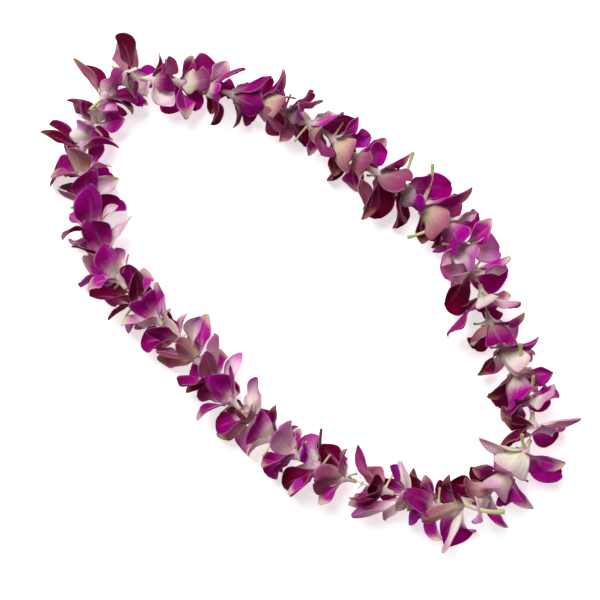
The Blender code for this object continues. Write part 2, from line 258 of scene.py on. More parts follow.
# %% Each blossom's organs and how they are held
# Angles are in degrees. The sweep is how far an organ is open at its root and at its tip, the seat is how
# far forward on the hub it starts, and the end is how broad its solid's blunt tip is.
ORGAN_KEYS = ("name", "azimuth", "length", "sweep", "seat", "end")
ORGANS = [dict(zip(ORGAN_KEYS, organ)) for organ in (
    ("petal_left", 30, 30, (34, 60), 1.0, 7.5),
    ("dorsal_sepal", 90, 29, (50, 70), -1.0, 3.0),
    ("petal_right", 150, 30, (34, 60), 1.0, 7.5),
    ("lateral_sepal_right", 210, 28, (52, 72), -1.0, 3.0),
    ("lip", 270, 20, (20, 58), 1.6, 6.0),
    ("lateral_sepal_left", 330, 28, (52, 72), -1.0, 3.0),
)]
BLADE_THICKNESS = 1.0
STALK_SEAT = 2.7
STALK_LENGTH = 16.0
STALK_SIDES = [1, 3, 4, 5]
# For each blossom: how far it is turned about the thread, and how many degrees wider it opens on its outer
# side, upwards and all round.
SEATS = [
    (40, 0, 0, 0), (200, 10, 10, 5), (330, 10, 0, 0), (300, 10, 0, 0), (0, 20, 0, 0), (60, 15, 0, 0),
    (20, 15, 8, 4), (0, 5, 0, 0), (340, 18, 0, 0), (90, 10, 0, 0), (270, 10, 0, 8), (320, 10, 0, 0),
    (310, 0, 0, 0), (60, 15, 8, 4), (75, 15, 0, 0), (300, 22, 0, 6), (200, 10, 0, 4), (215, 15, 0, 6),
    (190, 18, 0, 4), (345, 0, 0, 8), (65, 0, 0, 6), (180, 0, 0, 4), (20, 0, 0, 8), (320, 0, 0, 0),
    (50, 0, 0, 4), (200, 0, 4, 6), (330, 0, 0, 4), (60, 0, 0, 6), (0, 0, 4, 10), (45, 0, 0, 10),
    (190, 0, 0, 4), (315, 0, 0, 2), (300, 5, 0, 10), (180, 8, 36, 20), (150, 8, 30, 18), (10, 0, 12, 22),
    (60, 0, 0, 12), (300, 0, 0, 14), (70, 0, 0, 8), (270, 6, 12, 24), (180, 6, 44, 24), (315, 0, 0, 12),
    (60, 0, 0, 8), (30, 0, 0, 14), (300, 0, 0, 4), (75, 0, 0, 8), (240, 0, 0, 4), (40, 0, 4, 10),
]
# How far each thing may differ from one blossom or organ to the next.
TURN_SHIFT = (-6, 6)
OPENING = (-3, 5)
SIZE = (0.94, 1.06)
AZIMUTH_SHIFT = (-6, 6)
ROOT_SHIFT = (-7, 7)
TIP_SHIFT = (-18, 24)
TWIST = (-20, 20)
LENGTH_SHARE = (0.95, 1.05)
STALK_LEAN = (-25, 25)
STALK_ROOT = (80, 105)
STALK_TIP = (85, 135)
STALK_SHARE = (0.7, 1.3)
MOST_DRAWS = 400
DRAWS_TO_DOUBLE = 100  # after so many tries the differences are twice as large
DRAW_SEED = 1000
SETTLING = 7.0
NOD = 10.0  # how much less open a blossom is on top, where organs fall forward
FACE_UP = 52.0  # how far organs at the sides turn their faces up
TWIST_REACHED = 0.62
TABLE_BEND = 6.0  # mm of height over which an organ that comes down eases off
TABLE_BAND = 5.0  # mm of height in which it turns flat to the table
TABLE_SINK = 1.0
TABLE_LEAN = 1.4
HEADING_MEMORY = 0.05
MARCH = 0.5  # mm to a step


def station(index):
    """Where a blossom's middle is and which way the thread runs through it."""
    spacing = (LOOP_LENGTH - KNOT_GAP) / len(SEATS)
    distance = KNOT_AT + KNOT_GAP / 2 + (index + 0.5) * spacing
    return loop_point(distance), loop_forward(distance)


def settled(azimuth):
    """An organ's azimuth after the blossom has sunk a little, which spreads its organs to both sides."""
    return azimuth - SETTLING * math.sin(2 * math.radians(azimuth))


def faced(index, azimuth):
    """How many degrees wider than usual an organ at an azimuth is open, as its blossom is seated."""
    _, aside, lift, wider = SEATS[index]
    angle = math.radians(azimuth)
    return wider + max(0.0, aside * math.cos(angle)) + (lift - NOD) * max(0.0, math.sin(angle))


def draw_poses(index, draw):
    """The bearing of each organ and of the stalk, with the small differences of one draw."""
    luck = random.Random(DRAW_SEED * index + draw)
    spread = 1 + draw / DRAWS_TO_DOUBLE
    turn = SEATS[index][0] + luck.uniform(*TURN_SHIFT) * spread
    opening = luck.uniform(*OPENING)
    size = luck.uniform(*SIZE)
    poses = []
    for organ in ORGANS:
        root, tip = organ["sweep"]
        azimuth = settled(turn + organ["azimuth"] + luck.uniform(*AZIMUTH_SHIFT) * spread)
        opened = opening + faced(index, azimuth)
        poses.append({
            "azimuth": azimuth,
            "root": root + opened + luck.uniform(*ROOT_SHIFT) * spread,
            "tip": tip + opened + luck.uniform(*TIP_SHIFT) * spread,
            "twist": luck.uniform(*TWIST) * spread - FACE_UP * math.cos(math.radians(azimuth)),
            "length": organ["length"] * size * luck.uniform(*LENGTH_SHARE),
        })
    side = luck.choice(STALK_SIDES)
    stalk = {
        "side": side,
        "azimuth": turn + ORGANS[side]["azimuth"] + luck.uniform(*STALK_LEAN),
        "root": luck.uniform(*STALK_ROOT),
        "tip": luck.uniform(*STALK_TIP),
        "twist": 0.0,
        "length": STALK_LENGTH * luck.uniform(*STALK_SHARE),
    }
    return turn, poses, stalk


print(len(ORGANS), "organs to a blossom,", len(SEATS), "seats")

# %% The march along an organ


def rail(start, forward, outward, pose, room, flat=True):
    """The middle line of an organ, marched from its root to its tip.

    Each entry is (place, way along, way across, way its inner face looks).
    """
    side = forward.cross(outward)
    place = start.copy()
    steps = max(2, round(pose["length"] / MARCH))
    pace = pose["length"] / steps
    track = []
    heading = Vector((forward.x, forward.y, 0)).normalized()
    for step in range(steps + 1):
        share = step / steps
        sweep = math.radians(pose["root"] + (pose["tip"] - pose["root"]) * share)
        along = forward * math.cos(sweep) + outward * math.sin(sweep)
        steepest = -max(0.0, place.z - room) / TABLE_BEND
        if along.z < steepest:
            along = heading * math.sqrt(max(0.0, 1 - steepest**2)) + UP * steepest
        else:
            heading = (Vector((along.x, along.y, 0)) + heading * HEADING_MEMORY).normalized()
        turn = math.radians(pose["twist"]) * min(1.0, share / TWIST_REACHED)
        inner = along.cross(side).normalized()
        width = side * math.cos(turn) + inner * math.sin(turn)
        lying = min(1.0, max(0.0, (TABLE_BAND + room - place.z) / TABLE_BAND))
        lying *= min(1.0, max(0.0, -TABLE_LEAN * outward.z))
        if flat and lying > 0:
            level = UP.cross(along).normalized()
            if level.dot(width) < 0:
                level = -level
            width = width * (1 - lying) + level * lying
        width = (width - along * width.dot(along)).normalized()
        normal = along.cross(width).normalized()
        track.append((place.copy(), along, width, normal))
        place += along * pace
    return track


def organ_rail(index, organ, pose):
    """The middle line of one organ of a blossom, from its seat on the hub."""
    centre, forward = station(index)
    outward = across(forward, pose["azimuth"])
    start = centre + outward * HUB_RADIUS * math.cos(math.pi / HUB_SIDES) + forward * organ["seat"]
    return rail(start, forward, outward, pose, BLADE_THICKNESS / 2 - TABLE_SINK)


print("a petal's rail has", len(organ_rail(0, ORGANS[0], draw_poses(0, 0)[1][0])), "places")

# %% [markdown]
# ## Which small differences each blossom has
# The frame gave every blossom the first draw of small differences that kept it clear of its neighbours.
# That draw is found again here by trying them in turn until the predicted tips of the organs fall on
# corners of the blossom's solid.

# %% Find each blossom's draw
FOUND_WITHIN = 0.02  # mm


def tip_corners(organ, pose, track):
    """The outer corners of a blade's end, as the frame's solid has them."""
    place, _, width, normal = track[-1]
    reach = organ["end"] / 2 * pose["length"] / organ["length"]
    corners = []
    for spot in (-1, 1):
        for face in (-1, 1):
            corner = place + width * reach * spot + normal * face * BLADE_THICKNESS / 2
            floor_z = BLADE_THICKNESS * max(0.0, normal.z * face)
            corners.append((corner.x, corner.y, max(corner.z, floor_z)))
    return corners


def find_draw(index):
    """The first draw whose organs end where the blossom's solid has corners."""
    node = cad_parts[BLOSSOM_NODES[index]]
    count = len(node.data.vertices)
    solid = np.empty(count * 3)
    node.data.vertices.foreach_get("co", solid)
    solid = solid.reshape(-1, 3) / MM
    for draw in range(MOST_DRAWS):
        _, poses, _ = draw_poses(index, draw)
        for organ, pose in zip(ORGANS, poses):
            corners = np.array(tip_corners(organ, pose, organ_rail(index, organ, pose)))
            away = np.linalg.norm(solid[None] - corners[:, None], axis=2).min(axis=1).max()
            if away > FOUND_WITHIN:
                break
        else:
            return draw
    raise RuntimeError(f"no draw matches {BLOSSOM_NODES[index]}")


DRAWS = [find_draw(index) for index in range(len(SEATS))]
print("draws found", DRAWS)

# %% [markdown]
# ## Petals, sepals and lip as flat blanks
# A petal is a thin sheet with a narrow claw, its broadest part past the middle and a blunt tip. Each kind
# of organ is modelled once, flat: a grid is stretched to size, each row of its points is scaled to the
# organ's outline, a Subdivision Surface rounds it and a Solidify gives it a leaf's thickness. The grid's
# own UV map then says for every point how far along the organ it is and how far across, which the colours
# use.

# %% A sheet with an outline
SHEET_COLUMNS = 6
SHEET_ROWS = 12
SHEET_THICKNESS = 0.5  # mm

# Half the breadth at each row, from root to tip, as a share of the most.
PETAL_OUTLINE = (0.46, 0.54, 0.63, 0.73, 0.83, 0.91, 0.97, 1.00, 0.99, 0.93, 0.80, 0.58, 0.20)
SEPAL_OUTLINE = (0.60, 0.66, 0.72, 0.80, 0.90, 0.97, 1.00, 0.98, 0.92, 0.81, 0.65, 0.44, 0.13)
LATERAL_OUTLINE = (0.75, 0.82, 0.88, 0.94, 0.99, 1.00, 0.98, 0.92, 0.83, 0.71, 0.56, 0.38, 0.12)
LIP_OUTLINE = (0.50, 0.66, 0.88, 1.00, 0.96, 0.78, 0.64, 0.72, 0.90, 0.98, 0.90, 0.62, 0.14)


def select_points(edited, test):
    """In edit mode, select just the points whose place passes a test."""
    for vert in edited.verts:
        vert.select = test(vert.co)
    edited.select_flush_mode()


def finish_modifier(piece, kind, **settings):
    """Add a modifier with its settings and apply it."""
    bpy.context.view_layer.objects.active = piece
    modifier = piece.modifiers.new(kind.lower(), kind)
    for key, value in settings.items():
        setattr(modifier, key, value)
    bpy.ops.object.modifier_apply(modifier=modifier.name)


def number_points(piece, number):
    """Give every point the number of the organ that it belongs to."""
    organ = piece.data.attributes.new("which_organ", "INT", "POINT")
    organ.data.foreach_set("value", [number] * len(piece.data.vertices))


def sheet_blank(number, name, length, width, outline, skins):
    """One organ, flat: its root at the origin, its tip at y = length, its inner face looking to +z."""
    deselect_all()
    bpy.ops.mesh.primitive_grid_add(x_subdivisions=SHEET_COLUMNS, y_subdivisions=SHEET_ROWS, size=1)
    blank = bpy.context.object
    blank.name = name
    bpy.ops.object.mode_set(mode="EDIT")
    bpy.ops.mesh.select_all(action="SELECT")
    bpy.ops.transform.resize(value=(width, length, 1))
    bpy.ops.transform.translate(value=(0, length / 2, 0))
    edited = bmesh.from_edit_mesh(blank.data)
    pace = length / SHEET_ROWS
    for row, share in enumerate(outline):
        select_points(edited, lambda co, y=row * pace: abs(co.y - y) < pace / 4)
        bpy.ops.transform.resize(value=(share, 1, 1))
    bpy.ops.object.mode_set(mode="OBJECT")
    for material in skins:
        blank.data.materials.append(material)
    finish_modifier(blank, "SUBSURF", levels=1, render_levels=1)
    finish_modifier(blank, "SOLIDIFY", thickness=SHEET_THICKNESS, offset=0, material_offset=1,
                    material_offset_rim=1)
    number_points(blank, number)
    return blank


print("an outline has", len(PETAL_OUTLINE), "rows")

# %% [markdown]
# ## Finishes of the blossom
# The real skin is living cells over a thin spongy sheet: satin and never glossy, white where the organ
# leaves the flower's middle and purple further out. A little light gets in, so folds and edges glow redder
# than the faces. A painted image would be quick, but every petal would repeat it. So the colour is worked
# out from how far along the organ a point is, which its UV map says, and from two numbers that each organ
# carries: how flushed it is, and how much painted shade and darker tone it has. Four runs of colour, cream,
# tan, bright and wine, are blended by those two; tan and wine are cream and bright darkened as painted
# shade, partly also the organ's own darker tone. The white runs out in soft rays, colour comes lower down at
# the edges, and a mottle breaks the change up. A thin pale rim is painted on as a highlight along the edge.

# %% Runs of colour
PLACES = (0.0, 0.16, 0.34, 0.54, 0.80, 1.0)  # how far along an organ each colour of a run of six is
MOTTLE_SCALE = 90.0  # to the metre: patches about 11 mm across
MOTTLE_REACH = 0.24  # how far, as a share of the organ, a patch moves the change of colour
RAYS = 6
RAY_REACH = 0.014
RAY_WANDER = 6.0  # how much the mottle bends the rays
EDGE_REACH = 0.14  # how much lower down the colour comes at an edge
MIDRIB_WIDTH = 0.16  # a share of the half breadth, as the rim's start is
MIDRIB_FADES = (0.2, 0.85)
# The painted highlight at the edge: where it starts across the half breadth, and how much it takes.
RIM_HIGHLIGHT_FROM = 0.90
RIM_HIGHLIGHT_SHARE = 0.32


def run_of(colours):
    """The colour stops of a run, from its six hex colours in a line."""
    return [(place, "#" + colour) for place, colour in zip(PLACES, colours.split())]


print("runs of", len(PLACES), "colours")

# %% Petal finishes
# Settings that several nodes share.
TIMES_PLUS = {"operation": "MULTIPLY_ADD"}
BLEND = {"data_type": "RGBA"}


def organ_finish(name, cream, tan_and_painted_shade, bright, wine_and_painted_shade, rim_highlight, streak):
    """An organ's skin: four runs of colour, blended by how flushed it is and by its painted shade and tone.
    """
    material, tree, shader = new_material(name)
    place = add_node(tree, "SeparateXYZ", _0=add_node(tree, "UVMap", {"uv_map": "organ"}))
    sideways, along = place.outputs[0], place.outputs[1]
    from_middle = add_node(tree, "Math", TIMES_PLUS, _0=sideways, _1=2.0, _2=-1.0)
    beside = add_node(tree, "Math", {"operation": "ABSOLUTE"}, _0=from_middle)
    mottle = add_node(tree, "TexNoise", Vector=add_node(tree, "TexCoord").outputs["Object"],
                      Scale=MOTTLE_SCALE, Detail=3.0)

    # The white of the root runs out into the colour as soft rays, furthest along the middle.
    wander = add_node(tree, "Math", TIMES_PLUS, _0=mottle, _1=RAY_WANDER, _2=sideways)
    ray_angle = add_node(tree, "Math", TIMES_PLUS, _0=sideways, _1=RAYS * FULL_TURN, _2=wander)
    rays = add_node(tree, "Math", {"operation": "SINE"}, _0=ray_angle)
    rayed = add_node(tree, "Math", TIMES_PLUS, _0=rays, _1=RAY_REACH, _2=along)
    mottled = add_node(tree, "Math", TIMES_PLUS, _0=mottle, _1=MOTTLE_REACH, _2=rayed)
    edge_first = add_node(tree, "Math", {"operation": "POWER"}, _0=beside, _1=2.0)
    edged = add_node(tree, "Math", TIMES_PLUS, _0=edge_first, _1=EDGE_REACH, _2=mottled)
    white = add_node(tree, "Attribute", {"attribute_name": "white"}).outputs["Fac"]
    reach = add_node(tree, "Math", {"operation": "SUBTRACT"}, _0=edged, _1=white)

    # How flushed the organ is, and how much painted shade and darker tone it has. The tan and wine runs are
    # cream and bright magenta darkened as painted shade, partly also the organ's own darker tone.
    flush = add_node(tree, "Attribute", {"attribute_name": "flush"}).outputs["Fac"]
    painted_shade_and_tone = add_node(tree, "Attribute", {"attribute_name": "painted_shade_and_tone"}).outputs["Fac"]
    runs = [add_node(tree, "ValToRGB", {}, run_of(run), _0=reach) for run in (cream, tan_and_painted_shade, bright, wine_and_painted_shade)]
    pale = add_node(tree, "Mix", BLEND, _0=painted_shade_and_tone, _6=runs[0], _7=runs[1]).outputs[2]
    strong = add_node(tree, "Mix", BLEND, _0=painted_shade_and_tone, _6=runs[2], _7=runs[3]).outputs[2]
    colour = add_node(tree, "Mix", BLEND, _0=flush, _6=pale, _7=strong).outputs[2]

    # A paler streak along the midrib, and a thin pale rim that is a painted highlight along the edge.
    fades_from, fades_to = MIDRIB_FADES
    at_middle = add_node(tree, "MapRange", _0=beside, _1=0.0, _2=MIDRIB_WIDTH, _3=streak, _4=0.0)
    low_down = add_node(tree, "MapRange", _0=along, _1=fades_from, _2=fades_to, _3=1.0, _4=0.0)
    streaked = add_node(tree, "Math", {"operation": "MULTIPLY"}, _0=at_middle, _1=low_down)
    rim_highlight_mask = add_node(tree, "MapRange", _0=beside, _1=RIM_HIGHLIGHT_FROM, _2=1.0, _3=0.0, _4=RIM_HIGHLIGHT_SHARE)
    marked = add_node(tree, "Math", {"operation": "MAXIMUM"}, _0=streaked, _1=rim_highlight_mask)
    colour = add_node(tree, "Mix", BLEND, _0=marked, _6=colour, _7=linear(rim_highlight))
    tree.links.new(colour.outputs[2], shader.inputs["Base Color"])

    # Satin cells: broad soft highlights, and light that goes in a little and comes out redder.
    shader.inputs["Roughness"].default_value = 0.5
    shader.inputs["Specular IOR Level"].default_value = 0.04
    shader.inputs["Subsurface Weight"].default_value = 0.12
    shader.inputs["Subsurface Radius"].default_value = (1.0, 0.15, 0.3)
    shader.inputs["Subsurface Scale"].default_value = 0.004
    relief = add_node(tree, "Bump", Strength=0.15, Distance=0.0004, Height=rays)
    tree.links.new(relief.outputs[0], shader.inputs["Normal"])
    print("finish", name)
    return material


# In each call the second and fourth runs, tan and wine, are the cream and bright runs darkened as painted
# shade, partly also darker tone, and the fifth colour is the rim's painted highlight.
# The inner face of a petal is white at the claw and then magenta to the tip.
PETAL_FACE = organ_finish(
    "orchid_petal_face",
    "f5f1e2 f6f0e6 f4e8e2 ecc8dc d080c4 c460b4", "dccab2 d4ac9c c07c86 a43c74 8e1462 8a1a5e",
    "f4efe6 f0e0e8 d05cbc b404a0 a80090 9c0082", "d0b4b0 a06484 84044e 70003e 620032 56002a",
    "#d898d0", 0.5)
# A sepal is the same, but its tip pales to greenish cream.
SEPAL_FACE = organ_finish(
    "orchid_sepal_face",
    "f2efd8 f5efe2 f4eadf eed8da dcaed0 e6e4b8", "d6c8a8 d0b094 c08688 a8506c 9c3c6c b09878",
    "f2ecdc ecd8e4 cc58b4 b4109c b02898 dcc0b4", "d0b4a8 a06480 800448 6c003a 6a0e3a 8c6858",
    "#e0b8d4", 0.5)
# The back of both is duller and greener at its root.
ORGAN_BACK = organ_finish(
    "orchid_petal_back",
    "eeeacc f5f0de f5ecdf f3e2da e8bfcc d890b6", "d2c29a ceac8c c08280 a84c64 901c50 8a144c",
    "ece4cc ecd6d4 d068b0 b01498 a4008a a40c90", "b8a080 986068 7c0c42 6c0036 5c002c 620632",
    "#d8a0c4", 0.35)
# The lip has a white throat and a purple front lobe.
LIP_SKIN = organ_finish(
    "orchid_lip",
    "f2f0dc f4f0e4 f2e2e0 d8a0c8 b858a8 b860a8", "dcd4b8 d8ccb8 d0b0a8 a0587c 843060 843464",
    "f2f0dc f4ecdf e0b0d6 a01094 940088 a42ca0", "dcd4bc ccb4b0 a0508a 780054 600044 7c1058",
    "#e2b4d8", 0.3)

# %% Waxy green flesh
WAX_MOTTLE = 0.5  # how far a patch moves the change of colour


def waxy_finish(name, run):
    """Smooth waxy flesh, in a run of colour from its root to its end."""
    material, tree, shader = new_material(name)
    place = add_node(tree, "SeparateXYZ", _0=add_node(tree, "UVMap", {"uv_map": "organ"}))
    mottle = add_node(tree, "TexNoise", Vector=add_node(tree, "TexCoord").outputs["Object"],
                      Scale=MOTTLE_SCALE * 2, Detail=3.0)
    spread = add_node(tree, "Math", TIMES_PLUS, _0=mottle, _1=WAX_MOTTLE, _2=-WAX_MOTTLE / 2)
    reach = add_node(tree, "Math", {"operation": "ADD"}, _0=place.outputs[1], _1=spread)
    colour = add_node(tree, "ValToRGB", {}, run_of(run), _0=reach)
    tree.links.new(colour.outputs[0], shader.inputs["Base Color"])
    shader.inputs["Roughness"].default_value = 0.4
    print("finish", name)
    return material


# A stalk is cream at the flower and leaf green at its cut end.
STALK_GREEN = waxy_finish("orchid_stalk_green", "ece8d4 e9e6c6 e4e4ba dcdea8 ccd68e a8bc60")
# The hub is green behind and flushed pink in front.
HUB_SKIN = waxy_finish("orchid_hub_skin", "ccd09c dcdcb4 ece6d2 eedadc e0b4d0 cc84bc")

# %% The blank organs
# For each of ORGANS: its outline, its breadth, and the skins of its face and its back.
CUTS = [
    (PETAL_OUTLINE, 25.0, (PETAL_FACE, ORGAN_BACK)),
    (SEPAL_OUTLINE, 16.0, (SEPAL_FACE, ORGAN_BACK)),
    (PETAL_OUTLINE, 25.0, (PETAL_FACE, ORGAN_BACK)),
    (LATERAL_OUTLINE, 17.0, (SEPAL_FACE, ORGAN_BACK)),
    (LIP_OUTLINE, 17.0, (LIP_SKIN, LIP_SKIN)),
    (LATERAL_OUTLINE, 17.0, (SEPAL_FACE, ORGAN_BACK)),
]
blanks = []
for number, (organ, (outline, width, skins)) in enumerate(zip(ORGANS, CUTS)):
    blanks.append(sheet_blank(number, organ["name"], organ["length"], width, outline, skins))
    blanks[-1].data.uv_layers[0].name = "organ"
print("organ blanks", [(b.name, len(b.data.polygons)) for b in blanks])

# %% [markdown]
# ## The middle of a blossom
# Behind the petals the organs join in a small cup, which draws out below into a chin and narrows backwards
# into the ovary. The thread runs right through it. A turned shape like this is quickly made by spinning
# the section of its wall round the thread's line; the doubles are merged before the normals are made to
# agree, and the chin is then drawn out. The column is a bevelled peg in front of it. The stalk is a circle
# that is extruded in steps, each scaled to the next radius, and its cut end is bevelled.

# %% The hub
HUB, STALK = 6, 7  # their numbers, after those of the six organs
HUB_BACK = -10.6
HUB_FRONT = 4.8
# The wall's section: distance from the thread, and place along it.
HUB_PROFILE = [(0.9, -10.4), (1.4, HUB_BACK), (1.7, -9.6), (1.9, -7.0), (2.4, -4.6), (3.6, -2.6), (4.7, 0.0),
               (4.9, 2.6), (4.3, HUB_FRONT), (2.2, 4.2), (0.9, 3.8)]
HUB_SPIN_STEPS = 16
WELD = 0.001
CHIN = 0.2
CHIN_OUTSIDE = 2.0  # nearer the thread than this the hub stays round


def write_organ_uv(piece, place_of):
    """A UV map of its own for a piece that isn't a sheet."""
    layer = piece.data.uv_layers.new(name="organ")
    for loop in piece.data.loops:
        layer.data[loop.index].uv = place_of(piece.data.vertices[loop.vertex_index].co)


profile = bpy.data.meshes.new("hub")
profile.from_pydata([(r, 0, z) for r, z in HUB_PROFILE],
                    [(k, (k + 1) % len(HUB_PROFILE)) for k in range(len(HUB_PROFILE))], [])
hub = new_object("hub", profile)
pick([hub])
bpy.ops.object.mode_set(mode="EDIT")
bpy.ops.mesh.select_all(action="SELECT")
bpy.ops.mesh.spin(steps=HUB_SPIN_STEPS, angle=2 * math.pi, center=(0, 0, 0), axis=(0, 0, 1))
bpy.ops.mesh.select_all(action="SELECT")
bpy.ops.mesh.remove_doubles(threshold=WELD)
bpy.ops.mesh.normals_make_consistent(inside=False)
bpy.ops.object.mode_set(mode="OBJECT")
for vert in hub.data.vertices:
    reach = math.hypot(vert.co.x, vert.co.y)
    below = max(0.0, -vert.co.y / reach)
    if reach > CHIN_OUTSIDE:
        vert.co.x *= 1 + CHIN * below**3
        vert.co.y *= 1 + CHIN * below**3
hub.data.materials.append(HUB_SKIN)
write_organ_uv(hub, lambda co: (0.5, (co.z - HUB_BACK) / (HUB_FRONT - HUB_BACK)))
number_points(hub, HUB)
print("hub", len(hub.data.polygons), "faces")

# %% The column
COLUMN_SEAT = 2.6
COLUMN_LENGTH = 4.5
deselect_all()
bpy.ops.mesh.primitive_cylinder_add(vertices=8, radius=1.0, depth=COLUMN_LENGTH, calc_uvs=False,
                                    location=(0, COLUMN_SEAT, (HUB_LENGTH + COLUMN_LENGTH) / 2))
column = bpy.context.object
column.name = "column"
bpy.ops.object.transform_apply(location=True, rotation=False, scale=False)
finish_modifier(column, "BEVEL", width=0.45, segments=2)
column.data.materials.append(STALK_GREEN)
write_organ_uv(column, lambda co: (0.5, 0.0))
number_points(column, HUB)
print("column", len(column.data.polygons), "faces")

# %% The stalk
STALK_RADII = (1.3, 1.1, 0.95, 0.88, 0.84, 0.8, 0.8, 0.8, 0.8, 0.82, 0.86, 0.92, 0.95)
STALK_STEP = STALK_LENGTH / (len(STALK_RADII) - 1)
deselect_all()
bpy.ops.mesh.primitive_circle_add(vertices=8, radius=STALK_RADII[0], fill_type="NGON",
                                  rotation=(math.pi / 2, 0, 0))
stalk = bpy.context.object
stalk.name = "stalk"
bpy.ops.object.transform_apply(location=False, rotation=True, scale=False)
bpy.ops.object.mode_set(mode="EDIT")
bpy.ops.mesh.select_all(action="SELECT")
for before, after in zip(STALK_RADII, STALK_RADII[1:]):
    bpy.ops.mesh.extrude_region_move(TRANSFORM_OT_translate={"value": (0, STALK_STEP, 0)})
    bpy.ops.transform.resize(value=(after / before, 1, after / before))
bpy.ops.mesh.select_all(action="SELECT")
bpy.ops.mesh.normals_make_consistent(inside=False)
bpy.ops.object.mode_set(mode="OBJECT")
finish_modifier(stalk, "BEVEL", width=0.25, segments=2, limit_method="ANGLE", angle_limit=math.radians(60))
stalk.data.materials.append(STALK_GREEN)
write_organ_uv(stalk, lambda co: (0.5, co.y / STALK_LENGTH))
number_points(stalk, STALK)
print("stalk", len(stalk.data.polygons), "faces")

# %% One blank blossom
pick(blanks + [hub, column, stalk])
bpy.ops.object.join()
blank_blossom = blanks[0]
blank_blossom.name = "blank_blossom"
bpy.ops.object.shade_smooth()
blank_blossom.data.calc_loop_triangles()
print("blank blossom", len(blank_blossom.data.loop_triangles), "triangles",
      [m.name for m in blank_blossom.data.materials], [u.name for u in blank_blossom.data.uv_layers])

# %% [markdown]
# ## Laying a blossom out
# The organs are still flat. A Curve modifier could bend one, but 288 of them all bend differently, so each
# point is placed by rule. Its share of the length picks a place on the organ's rail, its share of the
# breadth is laid to the side, and its thickness goes along the normal. On top come the differences that
# make a petal look alive: a cup or a fold across, a wave at the edges, a curl at the tip and a roll about
# the middle. All are drawn with fixed seeds, so the same lei grows each time.

# %% The blank's points
FLAT = np.empty(len(blank_blossom.data.vertices) * 3)
blank_blossom.data.vertices.foreach_get("co", FLAT)
BLANK_POINTS = FLAT.reshape(-1, 3)
ORGAN_OF = np.empty(len(BLANK_POINTS), dtype=np.int32)
blank_blossom.data.attributes["which_organ"].data.foreach_get("value", ORGAN_OF)
HALF_WIDTHS = [np.abs(BLANK_POINTS[ORGAN_OF == k, 0]).max() for k in range(len(ORGANS))]
print(len(BLANK_POINTS), "points, organs", [round(2 * v, 1) for v in HALF_WIDTHS], "mm broad")

# %% A sheet along a rail


def on_rail(track, along, sideways, depth):
    """Places at shares along a track, so far to its side and so far along its normal."""
    place, way, width, normal = (np.array([entry[k] for entry in track]) for k in range(4))
    spot = np.clip(along, 0, 1) * (len(track) - 1)
    low = np.minimum(spot.astype(int), len(track) - 2)
    share = (spot - low)[:, None]
    middle, side, up = (line[low] * (1 - share) + line[low + 1] * share for line in (place, width, normal))
    middle = middle + way[-1] * (np.maximum(0, along - 1) * MARCH * (len(track) - 1))[:, None]
    middle = middle - side * sideways[:, None] + up * depth[:, None]
    return middle, up


NESTLE = 9.0  # degrees that a petal's tip lies further forward than its solid's, at the strand's sides
CLAW = 0.35  # the share of an organ in which it comes to its full cup
CUP_MIDDLE = 0.4  # how much of its cup an organ's middle line is sunk by
MOST_DRAWN_IN = 0.35
SLIMMEST = 0.05
CURL_FROM = 0.4
ROLL_FROM = 0.2
ROLL_OVER = 0.5


def nestled(pose, shape):
    """A bearing that leans on over the next blossom, as petals packed on a thread do."""
    lean = NESTLE * abs(math.cos(math.radians(pose["azimuth"]))) - shape["open"]
    return {**pose, "root": pose["root"] - lean / 2, "tip": pose["tip"] - lean}


def lay_sheet(index, number, pose, shape):
    """Lay one organ along its rail: cupped and folded across, waved at its edges and curled at its tip."""
    organ = ORGANS[number]
    blank = BLANK_POINTS[ORGAN_OF == number]
    along = blank[:, 1] / organ["length"]
    scale = pose["length"] / organ["length"]
    rows = CUTS[number][0]
    outline = np.interp(along, np.linspace(0, 1, len(rows)), rows)
    beside = blank[:, 0] / (HALF_WIDTHS[number] * np.maximum(outline, SLIMMEST))
    rise = np.clip(along / CLAW, 0, 1)
    cup = shape["cup"] * (1 + shape["lopsided"] * np.sign(beside))
    narrowed = np.sqrt(np.maximum(MOST_DRAWN_IN, 1 - (cup / HALF_WIDTHS[number])**2))
    fuller = 1 + shape["fuller"] * np.sign(beside)
    sideways = blank[:, 0] * scale * shape["wide"] * fuller * (1 - rise * (1 - narrowed))
    sideways = sideways + shape["lean"] * along**2
    fold = shape["fold"]
    depth = cup * (beside**2 * (1 - fold) + np.abs(beside) * fold - CUP_MIDDLE) * rise * np.sqrt(outline)
    depth = depth + shape["ruffle"] * beside**2 * rise * np.sin(
        along * shape["waves"] + shape["phase"] + np.sign(beside) * shape["skew"])
    depth = depth + shape["curl"] * np.clip((along - CURL_FROM) / (1 - CURL_FROM), 0, 1)**2
    roll = math.radians(shape["roll"]) * np.clip((along - ROLL_FROM) / ROLL_OVER, 0, 1)
    sideways, depth = (sideways * np.cos(roll) - depth * np.sin(roll),
                       sideways * np.sin(roll) + depth * np.cos(roll))
    track = organ_rail(index, organ, nestled(pose, shape))
    middle, up = on_rail(track, along * shape["reach"], sideways, depth)
    middle[:, 2] = np.maximum(middle[:, 2], SHEET_THICKNESS / 2)
    return middle + up * blank[:, 2][:, None]


# %% The hub and the stalk in their places
STALK_REACH = 0.75  # how much of its solid's length a stalk has
STALK_CLEAR = 1.5  # mm that its middle keeps above the table
ORGAN_SPACING = 360 / len(ORGANS)
print("organs are", ORGAN_SPACING, "degrees apart")


def lay_hub(index, turn):
    """The hub and the column, turned as the blossom is."""
    centre, forward = station(index)
    blank = BLANK_POINTS[ORGAN_OF == HUB]
    axes = np.array([across(forward, turn), across(forward, turn + 90), forward])
    return np.array(centre) + blank @ axes


